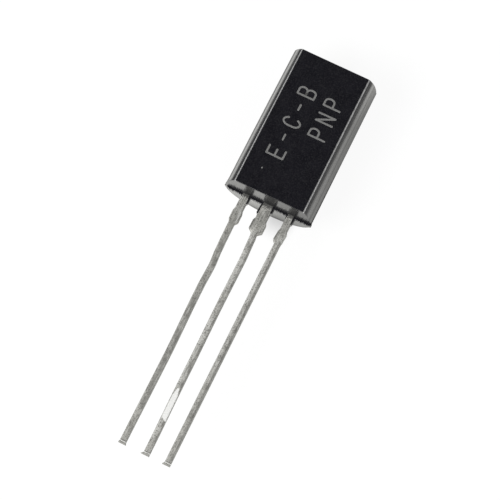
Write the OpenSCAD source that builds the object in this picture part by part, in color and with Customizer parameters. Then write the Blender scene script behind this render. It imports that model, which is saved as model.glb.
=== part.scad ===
// Long-body TO-92 transistor: three stamped leads of one lead frame, moulded in a D-shaped body.
// It lies on its round back. X runs across the leads, +Y from the leads to the body, +Z to the flat face.
// The part stands with the middle of its box over the origin, and Z = 0 is the surface it lies on.

/* [Body] */
// Width of the moulded body, which is also the diameter of its round back
body_w = 4.9; // [4.7:0.05:5.2]
// Height of the moulded body at the parting plane, without the flash under it
body_h = 8.14; // [7.6:0.02:8.6]
// Depth of the front half, from the parting plane to the flat face
front_d = 1.47; // [1.25:0.01:1.65]
// Draft of the front halves of the two end faces, in degrees, away from the parting plane
front_draft = 4.2; // [1:0.1:7]
// Draft of the back halves of the two end faces
back_draft = 2.0; // [0.5:0.1:5]
// Radius of the rolled edges along both sides of the flat face
edge_r = 0.11; // [0.04:0.01:0.2]
// Diameter of the ejector pin's mark in the round back
mark_d = 1.6; // [1.2:0.1:2]
// Depth of the ejector pin's mark at the crown of the back
mark_depth = 0.16; // [0.1:0.01:0.2]
// Distance from the top of the body to the middle of the ejector mark
mark_from_top = 2.14; // [1.5:0.02:3]

/* [Flash] */
// Height of the resin flash that fills the lead frame's plane under the body
flash_h = 0.12; // [0.08:0.01:0.3]
// How far that flash stands out past each side of the body
flash_proud = 0.04; // [0.01:0.01:0.08]
// Radius of the resin fillets between the flash and the edges of the leads
flash_fillet = 0.12; // [0.05:0.01:0.16]
// Thickness of the witness line that the two halves of the mould leave
seam_t = 0.06; // [0.03:0.01:0.1]
// How far the witness line stands out of the body
seam_proud = 0.02; // [0.01:0.005:0.03]

/* [Leads] */
// Distance between the middles of neighbouring leads
pitch = 1.27; // [1.2:0.01:1.35]
// Thickness of the lead frame's sheet
lead_t = 0.4; // [0.35:0.01:0.45]
// Width of the long thin part of each lead
lead_w = 0.33; // [0.28:0.01:0.4]
// Length of the leads, from the body to their cut ends
lead_len = 14.33; // [12:0.01:16]
// Width of the emitter lead's neck, where it leaves the body
emitter_neck_w = 0.43; // [0.35:0.01:0.5]
// Width of the collector lead's neck
collector_neck_w = 0.61; // [0.5:0.01:0.66]
// Width of the base lead's neck
base_neck_w = 0.39; // [0.35:0.01:0.5]
// Width of the emitter lead where its dam bar was cut off
emitter_stub_w = 0.54; // [0.45:0.01:0.6]
// Width of the collector lead where its dam bars were cut off
collector_stub_w = 0.77; // [0.6:0.01:0.8]
// Width of the base lead where its dam bar was cut off
base_stub_w = 0.51; // [0.45:0.01:0.6]
// Distance from the body to the dam bar's stubs
stub_from_body = 0.95; // [0.8:0.01:1.3]
// Height of the stubs, which is the width of the cut dam bar
stub_h = 0.57; // [0.5:0.01:0.8]
// Length of the taper from a stub to the long thin part
taper_h = 0.17; // [0.1:0.01:0.3]
// Height of the burr that the shear left at each tip
burr_h = 0.14; // [0.05:0.01:0.2]
// How far the burr stands out on each side of the tip
burr_w = 0.04; // [0.01:0.01:0.06]

/* [Inside the body] */
// Width of the collector lead's pad, which carries the die
pad_w = 2.9; // [2.4:0.05:3.3]
// Height of the pad
pad_h = 3.4; // [2.8:0.05:3.6]
// Distance from the body's lower end to the pad
pad_from_end = 2.8; // [2.6:0.05:3.2]
// Diameter of the hole through the pad, which locks it in the resin
lock_d = 0.9; // [0.6:0.05:1.1]
// Width of the posts at the inner ends of the outer leads
post_w = 1.0; // [0.8:0.02:1.1]
// Height of the posts
post_h = 1.4; // [1.1:0.05:1.5]
// Distance from the body's lower end to the posts
post_from_end = 0.95; // [0.85:0.05:1]
// Side of the square silicon die
die_w = 1.0; // [0.7:0.05:1.2]
// Thickness of the die
die_t = 0.2; // [0.15:0.01:0.3]
// Thickness of the layer that fixes the die to the pad
attach_t = 0.05; // [0.03:0.01:0.08]
// How far the layer spreads past each side of the die
attach_spread = 0.05; // [0.02:0.01:0.1]
// Diameter of the bond wires
wire_d = 0.075; // [0.06:0.005:0.1]
// Diameter of the pressed balls at both ends of each wire
ball_d = 0.2; // [0.16:0.01:0.24]
// Thickness of the pressed balls
ball_t = 0.05; // [0.04:0.005:0.07]
// Rise of a wire's loop over the straight line between its two bonds
loop_rise = 0.4; // [0.3:0.02:0.6]

/* [Hidden] */
$fn = 96;

back_r = body_w / 2;
flat_half = sqrt(back_r * back_r - front_d * front_d);
front_slope = tan(front_draft);
back_slope = tan(back_draft);
lead_face = lead_t / 2;
// Small overlap of solids that are joined into one
join = 0.05;
// Free length cut away past a face, so that no thin skin is left
past = 1;

// Nominal middle of each lead: emitter, collector, base
lead_x = [-pitch, 0, pitch];
// Small shifts of each lead's neck and stub from its nominal middle
neck_shift = [0.015, 0.015, 0.05];
stub_shift = [0.02, 0.01, 0.015];
neck_x = lead_x + neck_shift;
// Slight bends from handling: distance below the body, and shift across, of the long thin part
emitter_bends = [[2.6, 0], [3.23, 0.018], [4.13, 0.073], [5.33, 0.042], [9.43, 0.106]];
collector_bends = [[2, 0.05], [3.23, 0.095], [5.53, 0.084], [9.43, 0.118]];
base_bends = [[5.93, 0.058]];
// Shift across where the long thin part begins, and at the tip: emitter, collector, base
start_shift = [-0.01, 0.02, 0.062];
tip_shift = [0.09, 0.167, 0.056];
// How far the burr at each tip leans to the emitter's side
burr_lean = [0, 0.03, 0.03];

stub_end = stub_from_body + stub_h;
// Height over which a neck widens to its stub
step_h = 0.18;

// The resin that hugs the leads' edges: lead, side, width at the body, width at the end, length
runs = [[0, 1, 0.07, 0.04, 0.48], [1, -1, 0.03, 0.09, 0.67], [1, 1, 0.08, 0.06, 0.4],
        [2, 1, 0.08, 0.06, 0.47], [2, -1, 0.05, 0.02, 0.33]];
neck_w = [emitter_neck_w, collector_neck_w, base_neck_w];

pad_top = pad_from_end + pad_h;
// Corner cut of the pad and the posts
corner = 0.25;
// Grooves in the edges of pad and posts, which key them in the resin
key_d = 0.5;
// How far a post's middle lies outside the nominal middle of its lead
post_shift = 0.08;
die_y = pad_from_end + 0.35 + attach_spread + die_w / 2;
die_base = lead_face + attach_t;
die_top = die_base + die_t;
// Middle of each wire's bond on the die, out from the die's middle
bond_x = die_w * 0.26;
bond_y = die_y - die_w * 0.2;
post_bond_x = pitch + post_shift;
post_bond_y = post_from_end + post_h * 0.6;

// The whole part, shifted so that the middle of its box lies over the origin
module placed() {
    translate([0, (lead_len - body_h - seam_proud) / 2, back_r]) children();
}

// The body's D-shaped section, with X across and the flat face up
module d_section() {
    // middle of the arc that rolls the flat into the round side
    cx = sqrt(pow(back_r - edge_r, 2) - pow(front_d - edge_r, 2));
    cy = front_d - edge_r;
    out = back_r / (back_r - edge_r);
    difference() {
        circle(r = back_r);
        translate([-back_r - past, front_d]) square([body_w + 2 * past, back_r]);
        for (s = [-1, 1])
            polygon([[s * cx, cy], [s * cx, front_d + past],
                     [s * (cx * out + past), front_d + past], [s * cx * out, cy * out]]);
    }
    for (s = [-1, 1]) translate([s * cx, cy]) circle(r = edge_r);
}

// The body's side view, Y by Z: both ends slope away from the parting plane
module side_view() {
    polygon([[0, 0], [front_d * front_slope, front_d], [body_h - front_d * front_slope, front_d],
             [body_h, 0], [body_h - back_r * back_slope, -back_r], [back_r * back_slope, -back_r]]);
}

module resin_block() {
    intersection() {
        translate([0, body_h + past, 0]) rotate([90, 0, 0])
            linear_extrude(height = body_h + 2 * past) d_section();
        translate([-back_r - past, 0, 0]) rotate([90, 0, 90])
            linear_extrude(height = body_w + 2 * past) side_view();
    }
}

// The flash under the body: a strip across the lead frame's plane, lower between the leads
module flash_outline() {
    half = back_r + flash_proud;
    low = flash_h * 0.82;
    polygon([[-half, join], [-half, -flash_h * 0.2], [-half + flash_h * 0.6, -low], [-pitch, -flash_h],
             [-pitch / 2, -low], [0, -flash_h], [pitch / 2, -low], [pitch, -flash_h],
             [half - flash_h * 0.6, -low], [half, -flash_h * 0.2], [half, join]]);
}

// A fillet of resin in the corner between the flash and one edge of a lead
module flash_corner(x, side) {
    translate([x, -flash_h * 0.8]) mirror([side < 0 ? 1 : 0, 0]) difference() {
        translate([-join, -flash_fillet]) square([join + flash_fillet, flash_fillet + join / 2]);
        translate([flash_fillet, -flash_fillet]) circle(r = flash_fillet);
    }
}

// A thin run of resin down one edge of a lead, with a round end
module resin_run(x, side, w_top, w_end, length) {
    translate([x, 0]) mirror([side < 0 ? 1 : 0, 0]) {
        polygon([[-join, 0], [w_top, 0], [w_end, -length + w_end], [0, -length], [-join, -length]]);
        intersection() {
            translate([0, -length + w_end]) circle(r = w_end);
            translate([-join, -length]) square([join + w_end, length]);
        }
    }
}

module flash() {
    translate([0, 0, -lead_face]) linear_extrude(height = lead_t) {
        flash_outline();
        for (i = [0:2], s = [-1, 1]) flash_corner(neck_x[i] + s * neck_w[i] / 2, s);
        for (r = runs) resin_run(neck_x[r[0]] + r[1] * neck_w[r[0]] / 2, r[1], r[2], r[3], r[4]);
    }
}

// The line where the halves of the mould met, round both sides and the top
module seam() {
    translate([-back_r - seam_proud, -join, -seam_t / 2])
        cube([body_w + 2 * seam_proud, body_h + join + seam_proud, seam_t]);
}

module ejector_mark() {
    translate([0, body_h - mark_from_top, -back_r - past])
        cylinder(d = mark_d, h = past + mark_depth);
}

// Stations of a lead, down from where its neck meets its post or pad: [y, middle, half width]
function stations(i, inner, neck, stub, bends) = concat(
    [[inner + join, neck_x[i], neck / 2],
     [-stub_from_body + step_h / 2, neck_x[i], neck / 2],
     [-stub_from_body - step_h / 2, lead_x[i] + stub_shift[i], stub / 2],
     [-stub_end, lead_x[i] + stub_shift[i], stub / 2],
     [-stub_end - taper_h, lead_x[i] + start_shift[i], lead_w / 2]],
    [for (b = bends) [-b[0], lead_x[i] + b[1], lead_w / 2]],
    [[-lead_len + burr_h, lead_x[i] + tip_shift[i], lead_w / 2],
     [-lead_len, lead_x[i] + tip_shift[i] - burr_lean[i], lead_w / 2 + burr_w]]);

// Closed outline through stations: down the right side and up the left
function outline(st) = concat(
    [for (s = st) [s[1] + s[2], s[0]]],
    [for (k = [len(st) - 1:-1:0]) [st[k][1] - st[k][2], st[k][0]]]);

// One lead, stamped flat: its neck and all below it, and the post or pad that the neck carries
module stamped(i, inner, neck, stub, bends) {
    translate([0, 0, -lead_face]) union() {
        linear_extrude(height = lead_t) polygon(outline(stations(i, inner, neck, stub, bends)));
        linear_extrude(height = lead_t) children();
    }
}

// The post at the inner end of an outer lead, with a groove in its outer edge
module post(i, side) {
    x = lead_x[i] + side * post_shift;
    top = post_from_end + post_h;
    difference() {
        polygon([[x - post_w / 2, post_from_end], [x + post_w / 2, post_from_end],
                 [x + post_w / 2, top - corner], [x + post_w / 2 - corner, top],
                 [x - post_w / 2 + corner, top], [x - post_w / 2, top - corner]]);
        translate([x + side * post_w / 2, post_from_end + post_h * 0.45]) circle(d = key_d / 2);
    }
}

// The pad at the inner end of the collector lead: a plate with cut corners, a hole and two grooves
module pad() {
    difference() {
        polygon([[-pad_w / 2 + corner, pad_from_end], [pad_w / 2 - corner, pad_from_end],
                 [pad_w / 2, pad_from_end + corner], [pad_w / 2, pad_top - corner],
                 [pad_w / 2 - corner, pad_top], [-pad_w / 2 + corner, pad_top],
                 [-pad_w / 2, pad_top - corner], [-pad_w / 2, pad_from_end + corner]]);
        translate([0, pad_top - lock_d]) circle(d = lock_d);
        for (s = [-1, 1]) translate([s * pad_w / 2, pad_top - lock_d]) circle(d = key_d);
    }
}

module emitter_shape() {
    stamped(0, post_from_end, emitter_neck_w, emitter_stub_w, emitter_bends) post(0, -1);
}

module collector_shape() {
    stamped(1, pad_from_end, collector_neck_w, collector_stub_w, collector_bends) pad();
}

module base_shape() {
    stamped(2, post_from_end, base_neck_w, base_stub_w, base_bends) post(2, 1);
}

module die_shape() {
    translate([-die_w / 2, die_y - die_w / 2, die_base]) cube([die_w, die_w, die_t]);
}

module attach_shape() {
    side = die_w + 2 * attach_spread;
    translate([-side / 2, die_y - side / 2, lead_face]) cube([side, side, attach_t]);
}

// A bond wire: one arc from a ball pressed on the die to a ball pressed on a post
module wire_shape(side) {
    a = [side * bond_x, bond_y, die_top + ball_t * 0.7];
    b = [side * post_bond_x, post_bond_y, lead_face + ball_t * 0.7];
    run = norm([b[0] - a[0], b[1] - a[1]]);
    drop = a[2] - b[2];
    chord = norm([run, drop]);
    // an arc of this radius rises by loop_rise over its chord
    r = (chord * chord / 4 + loop_rise * loop_rise) / (2 * loop_rise);
    half_turn = asin(chord / 2 / r);
    translate([a[0], a[1], die_top]) cylinder(d = ball_d, h = ball_t);
    translate([b[0], b[1], lead_face]) cylinder(d = ball_d, h = ball_t);
    translate((a + b) / 2)
        rotate([0, 0, atan2(b[1] - a[1], b[0] - a[0])])
            rotate([0, atan2(drop, run), 0])
                translate([0, 0, loop_rise - r])
                    rotate([90, 0, 0])
                        rotate([0, 0, 90 - half_turn])
                            rotate_extrude(angle = 2 * half_turn)
                                translate([r, 0]) circle(d = wire_d);
}

module moulded_body() {
    color("#1d1c21") placed() difference() {
        union() {
            resin_block();
            flash();
            seam();
        }
        ejector_mark();
        emitter_shape();
        collector_shape();
        base_shape();
        die_shape();
        attach_shape();
        wire_shape(-1);
        wire_shape(1);
    }
}

module emitter_lead() {
    color("#a3a29c") placed() emitter_shape();
}

module collector_lead() {
    color("#a3a29c") placed() collector_shape();
}

module base_lead() {
    color("#a3a29c") placed() base_shape();
}

module silicon_die() {
    color("#5b6070") placed() die_shape();
}

module die_attach() {
    color("#8d8f92") placed() attach_shape();
}

module emitter_bond_wire() {
    color("#d9b24a") placed() wire_shape(-1);
}

module base_bond_wire() {
    color("#d9b24a") placed() wire_shape(1);
}

moulded_body();
emitter_lead();
collector_lead();
base_lead();
silicon_die();
die_attach();
emitter_bond_wire();
base_bond_wire();
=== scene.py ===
import math

import bpy
import numpy as np
from mathutils import Matrix, Vector


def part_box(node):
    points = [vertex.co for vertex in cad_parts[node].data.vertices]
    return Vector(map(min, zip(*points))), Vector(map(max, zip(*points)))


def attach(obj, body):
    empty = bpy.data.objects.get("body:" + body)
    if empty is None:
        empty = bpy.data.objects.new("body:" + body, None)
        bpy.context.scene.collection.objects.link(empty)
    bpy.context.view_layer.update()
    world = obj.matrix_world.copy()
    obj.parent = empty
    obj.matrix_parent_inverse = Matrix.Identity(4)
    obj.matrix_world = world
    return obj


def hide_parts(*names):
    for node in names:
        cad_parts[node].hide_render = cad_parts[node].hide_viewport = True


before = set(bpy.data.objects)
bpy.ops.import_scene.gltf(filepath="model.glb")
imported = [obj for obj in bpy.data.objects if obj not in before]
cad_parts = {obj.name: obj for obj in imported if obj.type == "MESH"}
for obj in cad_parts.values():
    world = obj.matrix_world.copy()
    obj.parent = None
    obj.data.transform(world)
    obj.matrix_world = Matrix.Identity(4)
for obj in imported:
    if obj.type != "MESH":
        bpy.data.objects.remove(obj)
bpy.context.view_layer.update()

# ---------------------------------------------------------------------------
# Camera, floor and light
# The transistor lies on its round back on a white card. The camera stands over it, a little to its
# right and towards the leads. The room is white with a dark ceiling, so a flat black face stays black.
# ---------------------------------------------------------------------------
MM = 0.001
SEAM_PROUD = 0.02 * MM
BODY_HEIGHT = 8.14 * MM
body_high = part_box("moulded_body")[1]
lead_low, lead_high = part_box("collector_lead")
body_end = body_high.y - SEAM_PROUD - BODY_HEIGHT
lead_plane = (lead_low.z + lead_high.z) / 2

aim = Vector((0.202 * MM, body_end - 2.54 * MM, lead_plane))
camera_distance = 83.9 * MM
camera_tilt = math.radians(11.48)
camera_side = math.radians(6.19)
camera_roll = math.radians(26.71)

to_camera = Vector((math.sin(camera_side) * math.cos(camera_tilt), -math.sin(camera_tilt),
                    math.cos(camera_side) * math.cos(camera_tilt)))
level = Vector((0, 1, 0)).cross(to_camera).normalized()
upright = to_camera.cross(level)
camera_x = level * math.cos(camera_roll) + upright * math.sin(camera_roll)
camera_y = upright * math.cos(camera_roll) - level * math.sin(camera_roll)
camera_data = bpy.data.cameras.new("camera")
camera_data.sensor_width = 36.0
camera_data.lens = 117.07
camera_data.clip_start = 0.005
camera_data.clip_end = 10.0
camera = bpy.data.objects.new("camera", camera_data)
camera.matrix_world = Matrix.Translation(aim + to_camera * camera_distance) @ Matrix(
    (camera_x, camera_y, to_camera)).transposed().to_4x4()
bpy.context.scene.collection.objects.link(camera)
bpy.context.scene.camera = camera


def new_material(name):
    """An empty node material, its node tree and its output node."""
    material = bpy.data.materials.new(name)
    material.use_nodes = True
    material.node_tree.nodes.clear()
    output = material.node_tree.nodes.new("ShaderNodeOutputMaterial")
    return material, material.node_tree, output


def feed(tree, socket, value):
    """Links a socket to another, or sets it to a number or a colour."""
    if isinstance(value, bpy.types.NodeSocket):
        tree.links.new(value, socket)
    elif value is not None:
        socket.default_value = (*value, 1) if isinstance(value, tuple) else value


def math_node(tree, operation, first, second=None, clamp=False):
    """A Math node fed by sockets or numbers."""
    node = tree.nodes.new("ShaderNodeMath")
    node.operation = operation
    node.use_clamp = clamp
    feed(tree, node.inputs[0], first)
    feed(tree, node.inputs[1], second)
    return node.outputs[0]


def product(tree, first, *others):
    """Multiplies sockets and numbers, one after the other."""
    for other in others:
        first = math_node(tree, "MULTIPLY", first, other)
    return first


def ramp(tree, value, low, high, to_low, to_high):
    """value from low..high carried smoothly to to_low..to_high."""
    node = tree.nodes.new("ShaderNodeMapRange")
    node.interpolation_type = "SMOOTHSTEP"
    tree.links.new(value, node.inputs["Value"])
    for name, number in (("From Min", low), ("From Max", high), ("To Min", to_low), ("To Max", to_high)):
        node.inputs[name].default_value = number
    return node.outputs["Result"]


def coordinates(tree):
    """X, Y and Z in the part's own coordinates."""
    place = tree.nodes.new("ShaderNodeTexCoord")
    split = tree.nodes.new("ShaderNodeSeparateXYZ")
    tree.links.new(place.outputs["Object"], split.inputs[0])
    return split.outputs["X"], split.outputs["Y"], split.outputs["Z"]


# The card is white to the camera, with a faint painted shade beside the base lead. In mirrored light it is a
# trace warm, with a painted glow bright beside the part, and greyer under it and farther off. CARD_GLOW is
# its brightness by X (mm), which its colour ramp holds as a share of GLOW_TOP, and UNDER_LEADS its
# brightness under the left and the right lead. SEEN_GLOW and SEEN_COLOUR are what the camera gets.
FLOOR_HALF = 2.0
CARD_FROM = -12 * MM
CARD_TO = 20 * MM
CARD_GLOW = [(-12, 0.1), (20, 0.35), (-9, 0.08), (-7.7, 0.08), (-7.1, 0.25), (-6.6, 1.15), (-6.1, 1.6),
             (-5.4, 1.75), (-4.7, 0.95), (-4.1, 0.4), (-3.2, 0.3), (0, 0.3), (3.4, 0.38), (4.1, 0.58),
             (4.7, 0.8), (5.4, 0.64), (6.1, 1.0), (7.3, 1.85), (8.6, 1.5), (9.8, 0.62), (12, 0.4), (16, 0.4)]
GLOW_TOP = 2.0
GLOW_LEAN = 0.55 * MM
UPPER_GAIN = 0.6
UNDER_LEADS = (1.22, 0.86)
WARMTH = 0.035
SEEN_GLOW = 0.9
SHADE = 0.4
CARD_COLOUR = 0.8
SEEN_COLOUR = 0.14
MIRRORED_COLOUR = 0.08
card, tree, output = new_material("white_card")
diffuse = tree.nodes.new("ShaderNodeBsdfDiffuse")
glow = tree.nodes.new("ShaderNodeEmission")
light_path = tree.nodes.new("ShaderNodeLightPath")
seen = light_path.outputs["Is Camera Ray"]
mirrored = math_node(tree, "MAXIMUM", light_path.outputs["Is Glossy Ray"],
                     light_path.outputs["Is Transmission Ray"])
card_x, card_y = coordinates(tree)[:2]
# The painted glow on the right leans in beside the upper body, and it is brighter there.
lean = product(tree, ramp(tree, card_x, 7 * MM, 9 * MM, 0.0, GLOW_LEAN),
               ramp(tree, card_y, body_end + 5 * MM, body_end + 10.5 * MM, 0.0, 1.0))
across_card = math_node(tree, "SUBTRACT", math_node(tree, "ADD", card_x, lean), CARD_FROM)
across_card = math_node(tree, "DIVIDE", across_card, CARD_TO - CARD_FROM)
pool = tree.nodes.new("ShaderNodeValToRGB")
tree.links.new(across_card, pool.inputs["Fac"])
pool.color_ramp.interpolation = "CARDINAL"
for n, (x, bright) in enumerate(CARD_GLOW):
    where = (x * MM - CARD_FROM) / (CARD_TO - CARD_FROM)
    stop = pool.color_ramp.elements[n] if n < 2 else pool.color_ramp.elements.new(where)
    stop.position = where
    stop.color = (bright / GLOW_TOP, bright / GLOW_TOP, bright / GLOW_TOP, 1)
gain = product(tree, ramp(tree, card_x, 2 * MM, 4 * MM, 0.0, UPPER_GAIN),
               ramp(tree, card_y, body_end + 7.2 * MM, body_end + 10 * MM, 0.0, 1.0),
               ramp(tree, card_x, 6.9 * MM, 9.1 * MM, 1.0, 0.0))
pool_light = product(tree, pool.outputs["Color"], math_node(tree, "ADD", gain, 1.0), GLOW_TOP)
under_leads = product(tree, ramp(tree, card_x, -0.9 * MM, 0.8 * MM, *UNDER_LEADS),
                      ramp(tree, card_y, body_end - 0.2 * MM, body_end + 0.2 * MM, 1.0, 0.0))
near_card = math_node(tree, "MAXIMUM", pool_light, under_leads)
far = ramp(tree, math_node(tree, "ABSOLUTE", card_x), 20 * MM, 60 * MM, 1.0, 0.0)
mirrored_glow = product(tree, near_card, far, mirrored)
# Painted shade on the card beside the base lead, close to the body's lower end.
shade_across = product(tree, ramp(tree, card_x, -0.5 * MM, 0.35 * MM, 0.0, 1.0),
                       ramp(tree, card_x, 0.8 * MM, 1.7 * MM, 1.0, 0.0))
shade_along = product(tree, ramp(tree, card_y, body_end - 1.3 * MM, body_end + 0.5 * MM, 0.0, 1.0),
                      ramp(tree, card_y, body_end + 1.5 * MM, body_end + 3 * MM, 1.0, 0.0))
shade = product(tree, shade_across, shade_along, SHADE)
camera_glow = product(tree, seen, math_node(tree, "SUBTRACT", SEEN_GLOW, shade))
tree.links.new(math_node(tree, "ADD", mirrored_glow, camera_glow), glow.inputs["Strength"])
warmth = tree.nodes.new("ShaderNodeCombineColor")
warmth.inputs["Red"].default_value = 1.0
warmth.inputs["Green"].default_value = 1.0
tree.links.new(math_node(tree, "SUBTRACT", 1.0, product(tree, mirrored, WARMTH)), warmth.inputs["Blue"])
tree.links.new(warmth.outputs["Color"], glow.inputs["Color"])
own_colour = math_node(tree, "SUBTRACT", ramp(tree, seen, 0.0, 1.0, CARD_COLOUR, SEEN_COLOUR),
                       product(tree, mirrored, CARD_COLOUR - MIRRORED_COLOUR))
tree.links.new(own_colour, diffuse.inputs["Color"])
both = tree.nodes.new("ShaderNodeAddShader")
tree.links.new(diffuse.outputs[0], both.inputs[0])
tree.links.new(glow.outputs[0], both.inputs[1])
tree.links.new(both.outputs[0], output.inputs["Surface"])
floor_mesh = bpy.data.meshes.new("floor")
floor_mesh.from_pydata([(-FLOOR_HALF, -FLOOR_HALF, 0), (FLOOR_HALF, -FLOOR_HALF, 0),
                        (FLOOR_HALF, FLOOR_HALF, 0), (-FLOOR_HALF, FLOOR_HALF, 0)], [], [(0, 1, 2, 3)])
floor_mesh.materials.append(card)
floor = bpy.data.objects.new("floor", floor_mesh)
bpy.context.scene.collection.objects.link(floor)

# The room: white to the camera. For the rest it has bright walls and a dark ceiling, which the flat face
# mirrors.
WALL = 1.1
CEILING = 0.025
CEILING_FROM = 0.38
CEILING_TO = 0.76
world = bpy.data.worlds.new("room")
bpy.context.scene.world = world
world.use_nodes = True
tree = world.node_tree
tree.nodes.clear()
output = tree.nodes.new("ShaderNodeOutputWorld")
background = tree.nodes.new("ShaderNodeBackground")
direction = tree.nodes.new("ShaderNodeTexCoord")
split = tree.nodes.new("ShaderNodeSeparateXYZ")
tree.links.new(direction.outputs["Generated"], split.inputs[0])
room_light = ramp(tree, split.outputs["Z"], CEILING_FROM, CEILING_TO, WALL, CEILING)
seen = tree.nodes.new("ShaderNodeLightPath").outputs["Is Camera Ray"]
unseen = math_node(tree, "SUBTRACT", 1.0, seen)
tree.links.new(math_node(tree, "ADD", seen, product(tree, unseen, room_light)), background.inputs["Strength"])
tree.links.new(background.outputs[0], output.inputs["Surface"])


def softbox(name, azimuth, elevation, distance, size, watts):
    """A square area lamp that faces the part, placed by its direction from the part."""
    lamp_data = bpy.data.lights.new(name, "AREA")
    lamp_data.size = size
    lamp_data.energy = watts
    lamp = bpy.data.objects.new(name, lamp_data)
    turn = math.radians(azimuth)
    rise = math.radians(elevation)
    toward = Vector((math.cos(turn) * math.cos(rise), math.sin(turn) * math.cos(rise), math.sin(rise)))
    facing = toward.to_track_quat("Z", "Y").to_matrix().to_4x4()
    lamp.matrix_world = Matrix.Translation(toward * distance) @ facing
    bpy.context.scene.collection.objects.link(lamp)


softbox("key_softbox", azimuth=-130, elevation=44, distance=0.5, size=0.3, watts=1.9)
softbox("fill_softbox", azimuth=-40, elevation=38, distance=0.5, size=0.3, watts=0.7)

# ---------------------------------------------------------------------------
# Moulded body
# One moulding of black filled epoxy, pressed round the lead frame in a two-part mould. The flat face
# is in front and the back is round. Both ends slope away from the parting line, which stands proud.
# ---------------------------------------------------------------------------
BACK_R = 2.45 * MM
FRONT_D = body_high.z - lead_plane
FRONT_SLOPE = math.tan(math.radians(4.2))
BACK_SLOPE = math.tan(math.radians(2.0))
EDGE_R = 0.11 * MM
RIM_R = 0.035 * MM
SEAM_HALF = 0.03 * MM
MARK_R = 0.8 * MM
MARK_FLOOR = BACK_R - 0.16 * MM
MARK_Y = BODY_HEIGHT - 2.14 * MM
END_SHRINK = np.array([0.12, 0.3, 0.5, 0.7, 0.85, 0.95, 0.99])
# This moulding's own faults: its left side leans in towards the top, stands out a little below the flat
# and flares at the foot, and its top is low at the right corner and high at the left one.
LEFT_LEAN = 0.055 * MM
LEFT_OUT = 0.015 * MM
LEFT_FLARE = 0.04 * MM
FLARE_H = 0.4 * MM
TOP_CORNER = 0.14 * MM
LEFT_TOP = 0.02 * MM
CORNER_H = 0.6 * MM


def closed_mesh(name, shells):
    """A mesh of closed shells. Each shell is a grid of points, one ring after another, with a pole at
    each end: rings are joined by quads, and the first and last ring to their poles by triangles.
    A shell that encloses a negative volume is turned inside out."""
    points = []
    faces = []
    first = 0
    for grid, start, end in shells:
        rings, around = grid.shape[:2]
        j = np.arange(around)
        k = (j + 1) % around
        i = np.arange(rings - 1)[:, None] * around
        quads = np.stack([i + j, i + k, i + around + k, i + around + j], -1).reshape(-1, 4)
        last = (rings - 1) * around
        pole = rings * around
        caps = np.vstack([np.stack([k, j, np.full(around, pole)], -1),
                          np.stack([last + j, last + k, np.full(around, pole + 1)], -1)])
        place = np.vstack([grid.reshape(-1, 3), start, end])
        triangles = np.vstack([quads[:, [0, 1, 2]], quads[:, [0, 2, 3]], caps])
        a, b, c = (place[triangles[:, n]] for n in range(3))
        if np.einsum("ij,ij->i", a, np.cross(b, c)).sum() < 0:
            quads = quads[:, ::-1]
            caps = caps[:, ::-1]
        points.append(place)
        faces += (quads + first).tolist() + (caps + first).tolist()
        first += len(place)
    mesh = bpy.data.meshes.new(name)
    mesh.from_pydata(np.vstack(points).tolist(), [], faces)
    mesh.polygons.foreach_set("use_smooth", np.ones(len(mesh.polygons), bool))
    mesh.validate()
    mesh.update()
    piece = bpy.data.objects.new(name, mesh)
    bpy.context.scene.collection.objects.link(piece)
    return piece


def set_attribute(piece, name, values):
    """Stores one number for each vertex of a piece."""
    attribute = piece.data.attributes.new(name, "FLOAT", "POINT")
    attribute.data.foreach_set("value", np.asarray(values, np.float32))


def d_section():
    """The D outline once round, from the middle of the flat over +X: x, z, outward normal and roll.
    Straight over the flat, an arc of EDGE_R over each rolled edge, and one arc of BACK_R round the
    back, which swells by SEAM_PROUD where it crosses the parting line. roll is the sine of the way over
    each rolled edge, to a power below 1 on the right, which makes it broad, and above 1 on the left."""
    roll_x = math.sqrt((BACK_R - EDGE_R) ** 2 - (FRONT_D - EDGE_R) ** 2)
    roll_z = FRONT_D - EDGE_R
    meet = math.atan2(roll_z, roll_x)
    flat = roll_x * np.array([0, 0.2, 0.4, 0.6, 0.8, 0.93, 0.985])
    on_flat = np.ones(len(flat))
    roll = np.linspace(math.pi / 2, meet, 9)
    over = np.sin(np.linspace(0, math.pi, len(roll))).clip(0)
    fine = np.radians(np.linspace(-1.6, 1.6, 15))
    back = np.unique(np.round(np.concatenate([
        np.linspace(meet, -math.pi - meet, 140)[1:-1], fine, fine - math.pi]), 6))[::-1]
    back_r = BACK_R + np.exp(-(BACK_R * np.sin(back) / SEAM_HALF) ** 4) * SEAM_PROUD
    x = np.concatenate([flat, roll_x + EDGE_R * np.cos(roll), back_r * np.cos(back),
                        -roll_x - EDGE_R * np.cos(roll[::-1]), -flat[:0:-1]])
    z = np.concatenate([on_flat * FRONT_D, roll_z + EDGE_R * np.sin(roll), back_r * np.sin(back),
                        roll_z + EDGE_R * np.sin(roll[::-1]), on_flat[1:] * FRONT_D])
    turn = np.concatenate([on_flat * math.pi / 2, roll, back, math.pi - roll[::-1],
                           on_flat[1:] * math.pi / 2])
    # This shapes the painted highlight over each rolled edge: broad on the right, narrow on the left.
    rolled = np.concatenate([0 * on_flat, over ** 0.8, 0 * back, over ** 1.5, 0 * on_flat[1:]])
    return x, z, np.cos(turn), np.sin(turn), rolled


def draft(z):
    """How far an end face stands back from the parting line at height z, in front and behind."""
    return np.where(z > 0, FRONT_SLOPE * z, -BACK_SLOPE * z)


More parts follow.
